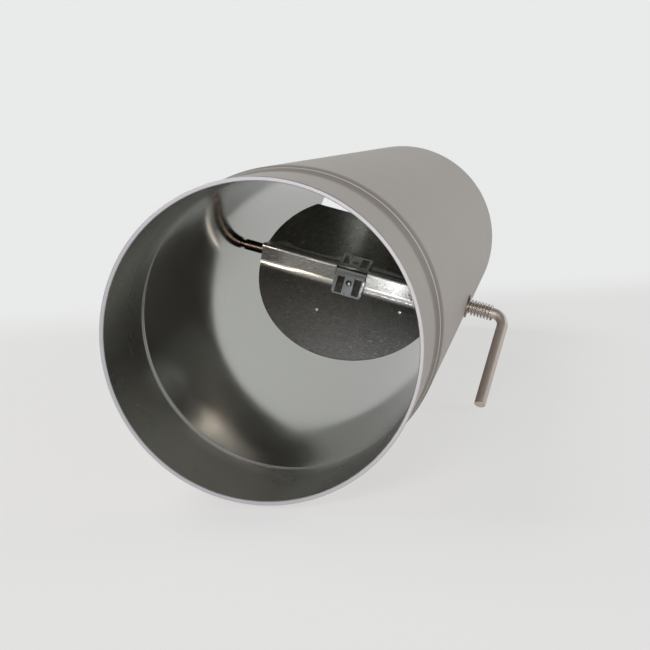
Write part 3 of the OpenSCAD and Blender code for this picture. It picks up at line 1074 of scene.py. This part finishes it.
half_w, half_foot, toe_end = CLIP_W / 2, FOOT_W / 2, FOOT_REACH + TOE_LENGTH + CLEAR_TOE
upper_outline = [
    (half_w, FOOT_REACH, CLIP_CORNER), (half_foot, FOOT_REACH, 0), (half_foot, toe_end, 0),
    (-half_foot, toe_end, 0), (-half_foot, FOOT_REACH, 0), (-half_w, FOOT_REACH, CLIP_CORNER),
]
lower_outline = [(-u, -v, r) for u, v, r in upper_outline]
combine(clip, [stencil("clip_outline", upper_outline + lower_outline)], "INTERSECT")
window_w = (CLIP_W - WINDOW_BAR) / 2 - WINDOW_RIM
window_low = clip_r * math.sin(clip_slope) + WINDOW_HEAD
window_top = FOOT_REACH - WINDOW_FOOT
trims = [
    window(left, low)
    for left in (-WINDOW_BAR / 2 - window_w, WINDOW_BAR / 2)
    for low in (window_low, -window_top)
]
under, wide, foot_inside = PLATE_FRONT - CLEAR_PLATE, half_w + CLEAR_W, FOOT_REACH - CLIP_T
trims += [
    box("under_flanks", (-wide, under, -foot_inside), (wide, STENCIL_HALF, foot_inside)),
    box("right_of_feet", (half_foot, under, -CUT_HALF), (wide, STENCIL_HALF, CUT_HALF)),
    box("left_of_feet", (-wide, under, -CUT_HALF), (-half_foot, STENCIL_HALF, CUT_HALF)),
]
combine(clip, trims, "DIFFERENCE")
print("each window is", window_w, "by", round(window_top - window_low, 2), "mm")

# %% [markdown]
# ### Bosses and edges
# The boss between the windows is pressed out of the strip as a low cap of a sphere, so a turned cap is
# joined on, square to the flank. The Bevel modifier then rounds the edges by less than 0.2 mm, as
# tumbling does after stamping.

# %% Bosses of the clip
BOSS_R = 1.9
BOSS_H = 0.8
BOSS_REACH = 8.0
BOSS_SIDES = 40
CAP_TURN = 0.1
CLIP_EDGE = 0.18
EDGE_FROM_DEGREES = 40
cap_r = (BOSS_R**2 + BOSS_H**2) / (2 * BOSS_H)
cap_angle = math.asin(BOSS_R / cap_r)
cap = [(-CLIP_T / 2, 0), (-CLIP_T / 2, BOSS_R)]
cap_turns = reversed(spread([0, cap_angle], CAP_TURN))
cap += [(BOSS_H - cap_r * (1 - math.cos(a)), cap_r * math.sin(a)) for a in cap_turns]
along_flank = (BOSS_REACH - clip_r * math.sin(clip_slope)) / math.cos(clip_slope)
bosses = []
for side in (1, -1):
    normal = Vector((0, -math.cos(clip_slope), side * math.sin(clip_slope)))
    up_flank = Vector((0, math.sin(clip_slope), side * math.cos(clip_slope)))
    boss = turned("boss", cap, BOSS_SIDES)
    place = (normal * clip_r + up_flank * along_flank) * MM
    square_to_flank = Vector((1, 0, 0)).rotation_difference(normal).to_matrix().to_4x4()
    boss.data.transform(Matrix.Translation(place) @ square_to_flank)
    bosses.append(boss)
combine(clip, bosses, "UNION")
rounding = clip.modifiers.new("rounding", "BEVEL")
rounding.width, rounding.segments, rounding.limit_method = CLIP_EDGE * MM, 2, "ANGLE"
rounding.angle_limit = math.radians(EDGE_FROM_DEGREES)
keep(clip)
finish_damper_piece(clip, STRIP, "rod_clip", 35)

# %% [markdown]
# ## Spring
# The coil spring presses the handle away from the pipe and so holds the damper where it is set. Its
# wire follows a helix. A Screw modifier could turn a small circle along it, but a curve that is given
# a round profile keeps the wire's section square to its path, and Geometry Nodes draw it from a few
# named sizes.

# %% The spring
WIRE_R = 0.6
SPRING_GAP = 0.5
TURNS = 7
WIRE_SIDES = 12
spring_sizes = {
    "Turns": float(TURNS),
    "Coil radius": (ROD_R + SPRING_GAP + WIRE_R) * MM,
    "Wire radius": WIRE_R * MM,
    "Coil length": (SPRING_LENGTH - 2 * WIRE_R) * MM,
    "Points in a turn": 32,
}
tree, given, result = new_tree("coil_spring", spring_sizes)
helix = add(
    tree, "GeometryNodeCurveSpiral",
    {
        "Rotations": given.outputs["Turns"], "Resolution": given.outputs["Points in a turn"],
        "Start Radius": given.outputs["Coil radius"], "End Radius": given.outputs["Coil radius"],
        "Height": given.outputs["Coil length"],
    },
)
wire = add(
    tree, "GeometryNodeCurvePrimitiveCircle",
    {"Radius": given.outputs["Wire radius"]}, {"Resolution": WIRE_SIDES},
)
coil = add(
    tree, "GeometryNodeCurveToMesh",
    {"Curve": helix.outputs["Curve"], "Profile Curve": wire.outputs["Curve"]}, {"Fill Caps": True},
)
whole = add(tree, "GeometryNodeRealizeInstances", {"Geometry": coil.outputs["Mesh"]})
wired = add(tree, "GeometryNodeSetMaterial", {"Geometry": whole.outputs["Geometry"]})
wired.inputs["Material"].default_value = WIRE
tree.links.new(wired.outputs["Geometry"], result.inputs["Geometry"])
start_line = line_mesh("start", [(0, 0, 0), (0, 0, MM)], False)
spring = run_tree("coil_spring", start_line, tree, spring_sizes, 40)
along_rod = Matrix.Translation(((spring_start + WIRE_R) * MM, 0, 0)) @ Matrix.Rotation(math.pi / 2, 4, "Y")
spring.data.transform(along_rod)
finish_damper_piece(spring, WIRE, "spring", 40)

# %% [markdown]
# ## Washer and snap ring
# The washer is a plain punched ring with its edges broken, so it is turned from a short section. The
# snap ring on the rod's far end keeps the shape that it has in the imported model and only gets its
# blackened finish, because it is small and the photo doesn't show it.

# %% Washer and ring
WASHER_R = 7.5
WASHER_HOLE_R = 3.7
WASHER_EDGE = 0.15
WASHER_SIDES = 96
face_near, face_far = body_r + SEAT_GAP, body_r + SEAT_GAP + WASHER_T
section = [
    (face_near, WASHER_HOLE_R), (face_near, WASHER_R - WASHER_EDGE), (face_near + WASHER_EDGE, WASHER_R),
    (face_far - WASHER_EDGE, WASHER_R), (face_far, WASHER_R - WASHER_EDGE), (face_far, WASHER_HOLE_R),
]
washer = turned("punched_washer", section, WASHER_SIDES)
finish_damper_piece(washer, WASHER, "washer", 30)
for material_slot in frame["nodes"]["retaining_ring"].material_slots:
    material_slot.material = RING
print("the ring keeps", len(frame["nodes"]["retaining_ring"].data.polygons), "faces")

# %% [markdown]
# ## Studio
# The pipe lies on pale paper in front of a white wall. The wall could be a second sheet, but then it
# would stand in front of the camera in a view from behind. So the wall is only the world's colour. The
# paper fades into that colour towards the wall's foot, and for the camera also between 0.7 and 1.2 m
# from the pipe, so that no horizon shows. The camera and the metal see the paper partly as a plain
# glow, as the photo is exposed so that its paper is almost white. The rest of it is lit as usual, and
# that part keeps the shadow under the pipe.

# %% Measures of the studio
FLOOR_Z = cad_low.z
FLOOR_HALF_WIDTH, FLOOR_HALF_DEPTH = 4.0, 4.5
BACKDROP_FOOT = (-0.366, 0.589)
BACKDROP_TURN = math.radians(29.4)
BACKDROP_AWAY = (-math.sin(BACKDROP_TURN), math.cos(BACKDROP_TURN), 0)
FOOT_AWAY_MM = (BACKDROP_FOOT[0] * BACKDROP_AWAY[0] + BACKDROP_FOOT[1] * BACKDROP_AWAY[1]) / MM
FADE_MM = 220
OUTER_FADE = (0.7, 1.2)
BACKDROP_GLOW = "e9eaea"
PAPER_COLOUR = "efece9"
PAPER_GLOW = "f0f0f0"
GLOW_SHARE = 0.66
print("floor at", round(FLOOR_Z / MM, 1), "mm, the wall's foot", round(FOOT_AWAY_MM), "mm away")

# %% Floor


def fade_to_wall(place, camera_ray):
    """How far the paper has become the wall: towards the wall, and for the camera also all round."""
    tree = place.id_data
    to_backdrop = share_along(place, BACKDROP_AWAY, FOOT_AWAY_MM - FADE_MM, FOOT_AWAY_MM)
    away = add(
        tree, "ShaderNodeVectorMath", {0: place}, {1: (0, ROD_PLACE * MM, FLOOR_Z)}, operation="DISTANCE"
    )
    outer = add(
        tree, "ShaderNodeMapRange", {"Value": away.outputs["Value"], "To Max": camera_ray},
        {"From Min": OUTER_FADE[0], "From Max": OUTER_FADE[1]}, interpolation_type="SMOOTHSTEP",
    )
    return add(
        tree, "ShaderNodeMath", {0: to_backdrop, 1: outer.outputs["Result"]}, operation="MAXIMUM"
    ).outputs["Value"]


def floor_paper():
    """Matt paper that the camera and the metal see partly as a plain glow of a colour."""
    made = bpy.data.materials.new("floor_paper")
    made.use_nodes = True
    tree = made.node_tree
    tree.nodes.clear()
    ray = add(tree, "ShaderNodeLightPath")
    far = fade_to_wall(add(tree, "ShaderNodeTexCoord").outputs["Object"], ray.outputs["Is Camera Ray"])
    seen = add(
        tree, "ShaderNodeMath", {0: ray.outputs["Is Camera Ray"], 1: ray.outputs["Is Glossy Ray"]},
        operation="MAXIMUM",
    )
    glow_part = add(tree, "ShaderNodeMapRange", {"Value": far}, {"To Min": GLOW_SHARE, "To Max": 1.0})
    share = add(
        tree, "ShaderNodeMath", {0: seen.outputs["Value"], 1: glow_part.outputs["Result"]},
        operation="MULTIPLY",
    )
    tint = add(
        tree, "ShaderNodeMix", {"Factor": far}, {"A": linear(PAPER_GLOW), "B": linear(BACKDROP_GLOW)},
        data_type="RGBA",
    )
    matt = add(tree, "ShaderNodeBsdfDiffuse", values={"Color": linear(PAPER_COLOUR)})
    glow = add(tree, "ShaderNodeEmission", {"Color": tint.outputs["Result"]})
    both = add(
        tree, "ShaderNodeMixShader",
        {0: share.outputs["Value"], 1: matt.outputs["BSDF"], 2: glow.outputs["Emission"]},
    )
    add(tree, "ShaderNodeOutputMaterial", {"Surface": both.outputs["Shader"]})
    return made


corners = [
    (x, y, FLOOR_Z)
    for y in (-FLOOR_HALF_DEPTH, FLOOR_HALF_DEPTH)
    for x in (-FLOOR_HALF_WIDTH, FLOOR_HALF_WIDTH)
]
floor_mesh = bpy.data.meshes.new("floor")
floor_mesh.from_pydata(corners, [], [(0, 1, 3, 2)])
floor_mesh.transform(Matrix.Translation((*BACKDROP_FOOT, 0)) @ Matrix.Rotation(BACKDROP_TURN, 4, "Z"))
floor_mesh.materials.append(floor_paper())
floor = bpy.data.objects.new("floor", floor_mesh)
bpy.context.scene.collection.objects.link(floor)
print("floor of", [round(d, 1) for d in floor.dimensions[:2]], "m")

# %% [markdown]
# ## The room's light
# Soft light comes from all round, as in a white room: paler at eye level than overhead, and brighter
# on the right, where the photo's metal is brighter too. A picture of a room could do that, but a
# gradient needs no file and has a few numbers that are easy to match. The camera sees the white wall
# instead of it, and so does the metal where it mirrors what lies behind the pipe, which is where a
# mirrored direction has a share of 0.2 to 0.5 or more along the pipe's own.

# %% The room
AIR_STRENGTH = 0.8
DIM_SIDE, BRIGHT_SIDE = 0.5, 1.5
HORIZON, CEILING = "bcbcbc", "646464"
CEILING_RISE = (0.25, 0.75)
WALL_BEHIND = (0.2, 0.5)
world = bpy.data.worlds.new("studio")
bpy.context.scene.world = world
world.use_nodes = True
tree = world.node_tree
tree.nodes.clear()
direction = add(tree, "ShaderNodeTexCoord")
towards = add(tree, "ShaderNodeSeparateXYZ", {"Vector": direction.outputs["Generated"]})
rise = add(
    tree, "ShaderNodeMapRange", {"Value": towards.outputs["Z"]},
    {"From Min": CEILING_RISE[0], "From Max": CEILING_RISE[1]}, interpolation_type="SMOOTHSTEP",
)
sky = add(
    tree, "ShaderNodeMix", {"Factor": rise.outputs["Result"]}, {"A": linear(HORIZON), "B": linear(CEILING)},
    data_type="RGBA",
)
side_light = add(
    tree, "ShaderNodeMapRange", {"Value": towards.outputs["X"]},
    {"From Min": -1.0, "To Min": AIR_STRENGTH * DIM_SIDE, "To Max": AIR_STRENGTH * BRIGHT_SIDE},
)
air = add(
    tree, "ShaderNodeBackground", {"Color": sky.outputs["Result"], "Strength": side_light.outputs["Result"]}
)
white_wall = add(tree, "ShaderNodeBackground", values={"Color": linear(BACKDROP_GLOW)})
behind_pipe = add(
    tree, "ShaderNodeMapRange", {"Value": towards.outputs["Y"]},
    {"From Min": WALL_BEHIND[0], "From Max": WALL_BEHIND[1]},
)
ray = add(tree, "ShaderNodeLightPath")
mirrored_wall = add(
    tree, "ShaderNodeMath", {0: ray.outputs["Is Glossy Ray"], 1: behind_pipe.outputs["Result"]},
    operation="MULTIPLY",
)
seen_wall = add(
    tree, "ShaderNodeMath", {0: ray.outputs["Is Camera Ray"], 1: mirrored_wall.outputs["Value"]},
    operation="MAXIMUM",
)
room = add(
    tree, "ShaderNodeMixShader",
    {0: seen_wall.outputs["Value"], 1: air.outputs["Background"], 2: white_wall.outputs["Background"]},
)
add(tree, "ShaderNodeOutputWorld", {"Surface": room.outputs["Shader"]})
bpy.context.scene.view_settings.view_transform = "Standard"
print("light of the air", [round(AIR_STRENGTH * side, 2) for side in (DIM_SIDE, BRIGHT_SIDE)])

# %% [markdown]
# ## Lamps
# Four area lamps stand for the room's windows and its bright front. The top window lights the pipe
# from above and softens its shadow, the side window brightens the right, and the front wall fills the
# bore and the plate. The low window is small and warm. The bore mirrors it as the warm spot low on the
# left and the bright curve at the rod's end, and the plate as the white line under the rib. Painted
# spots would be easier to place, but they would stay where they are when the damper turns.

# %% Lamps
PIPE_MIDDLE = (0, 0.2, 0)
LAMPS = (
    ("top_window", (-1.3, 0.4, 1.6), PIPE_MIDDLE, (1.4, 1.2), 16, "ffffff"),
    ("side_window", (2.0, 1.1, 1.0), PIPE_MIDDLE, (1.0, 0.8), 9, "f2faf6"),
    ("front_wall", (-0.3, -2.4, 1.1), PIPE_MIDDLE, (1.0, 0.5), 28, "fcfcff"),
    ("low_window", (0.5, -2.28, 0.08), (0, 0, 0), (0.6, 0.26), 11, "ffead6"),
)
for name, place, aim, size, watts, colour in LAMPS:
    light = bpy.data.lights.new(name, "AREA")
    light.shape = "RECTANGLE"
    light.size, light.size_y = size
    light.energy, light.color = watts, linear(colour)[:3]
    lamp = bpy.data.objects.new(name, light)
    bpy.context.scene.collection.objects.link(lamp)
    lamp.location = place
    lamp.rotation_euler = (Vector(aim) - Vector(place)).to_track_quat("-Z", "Y").to_euler()
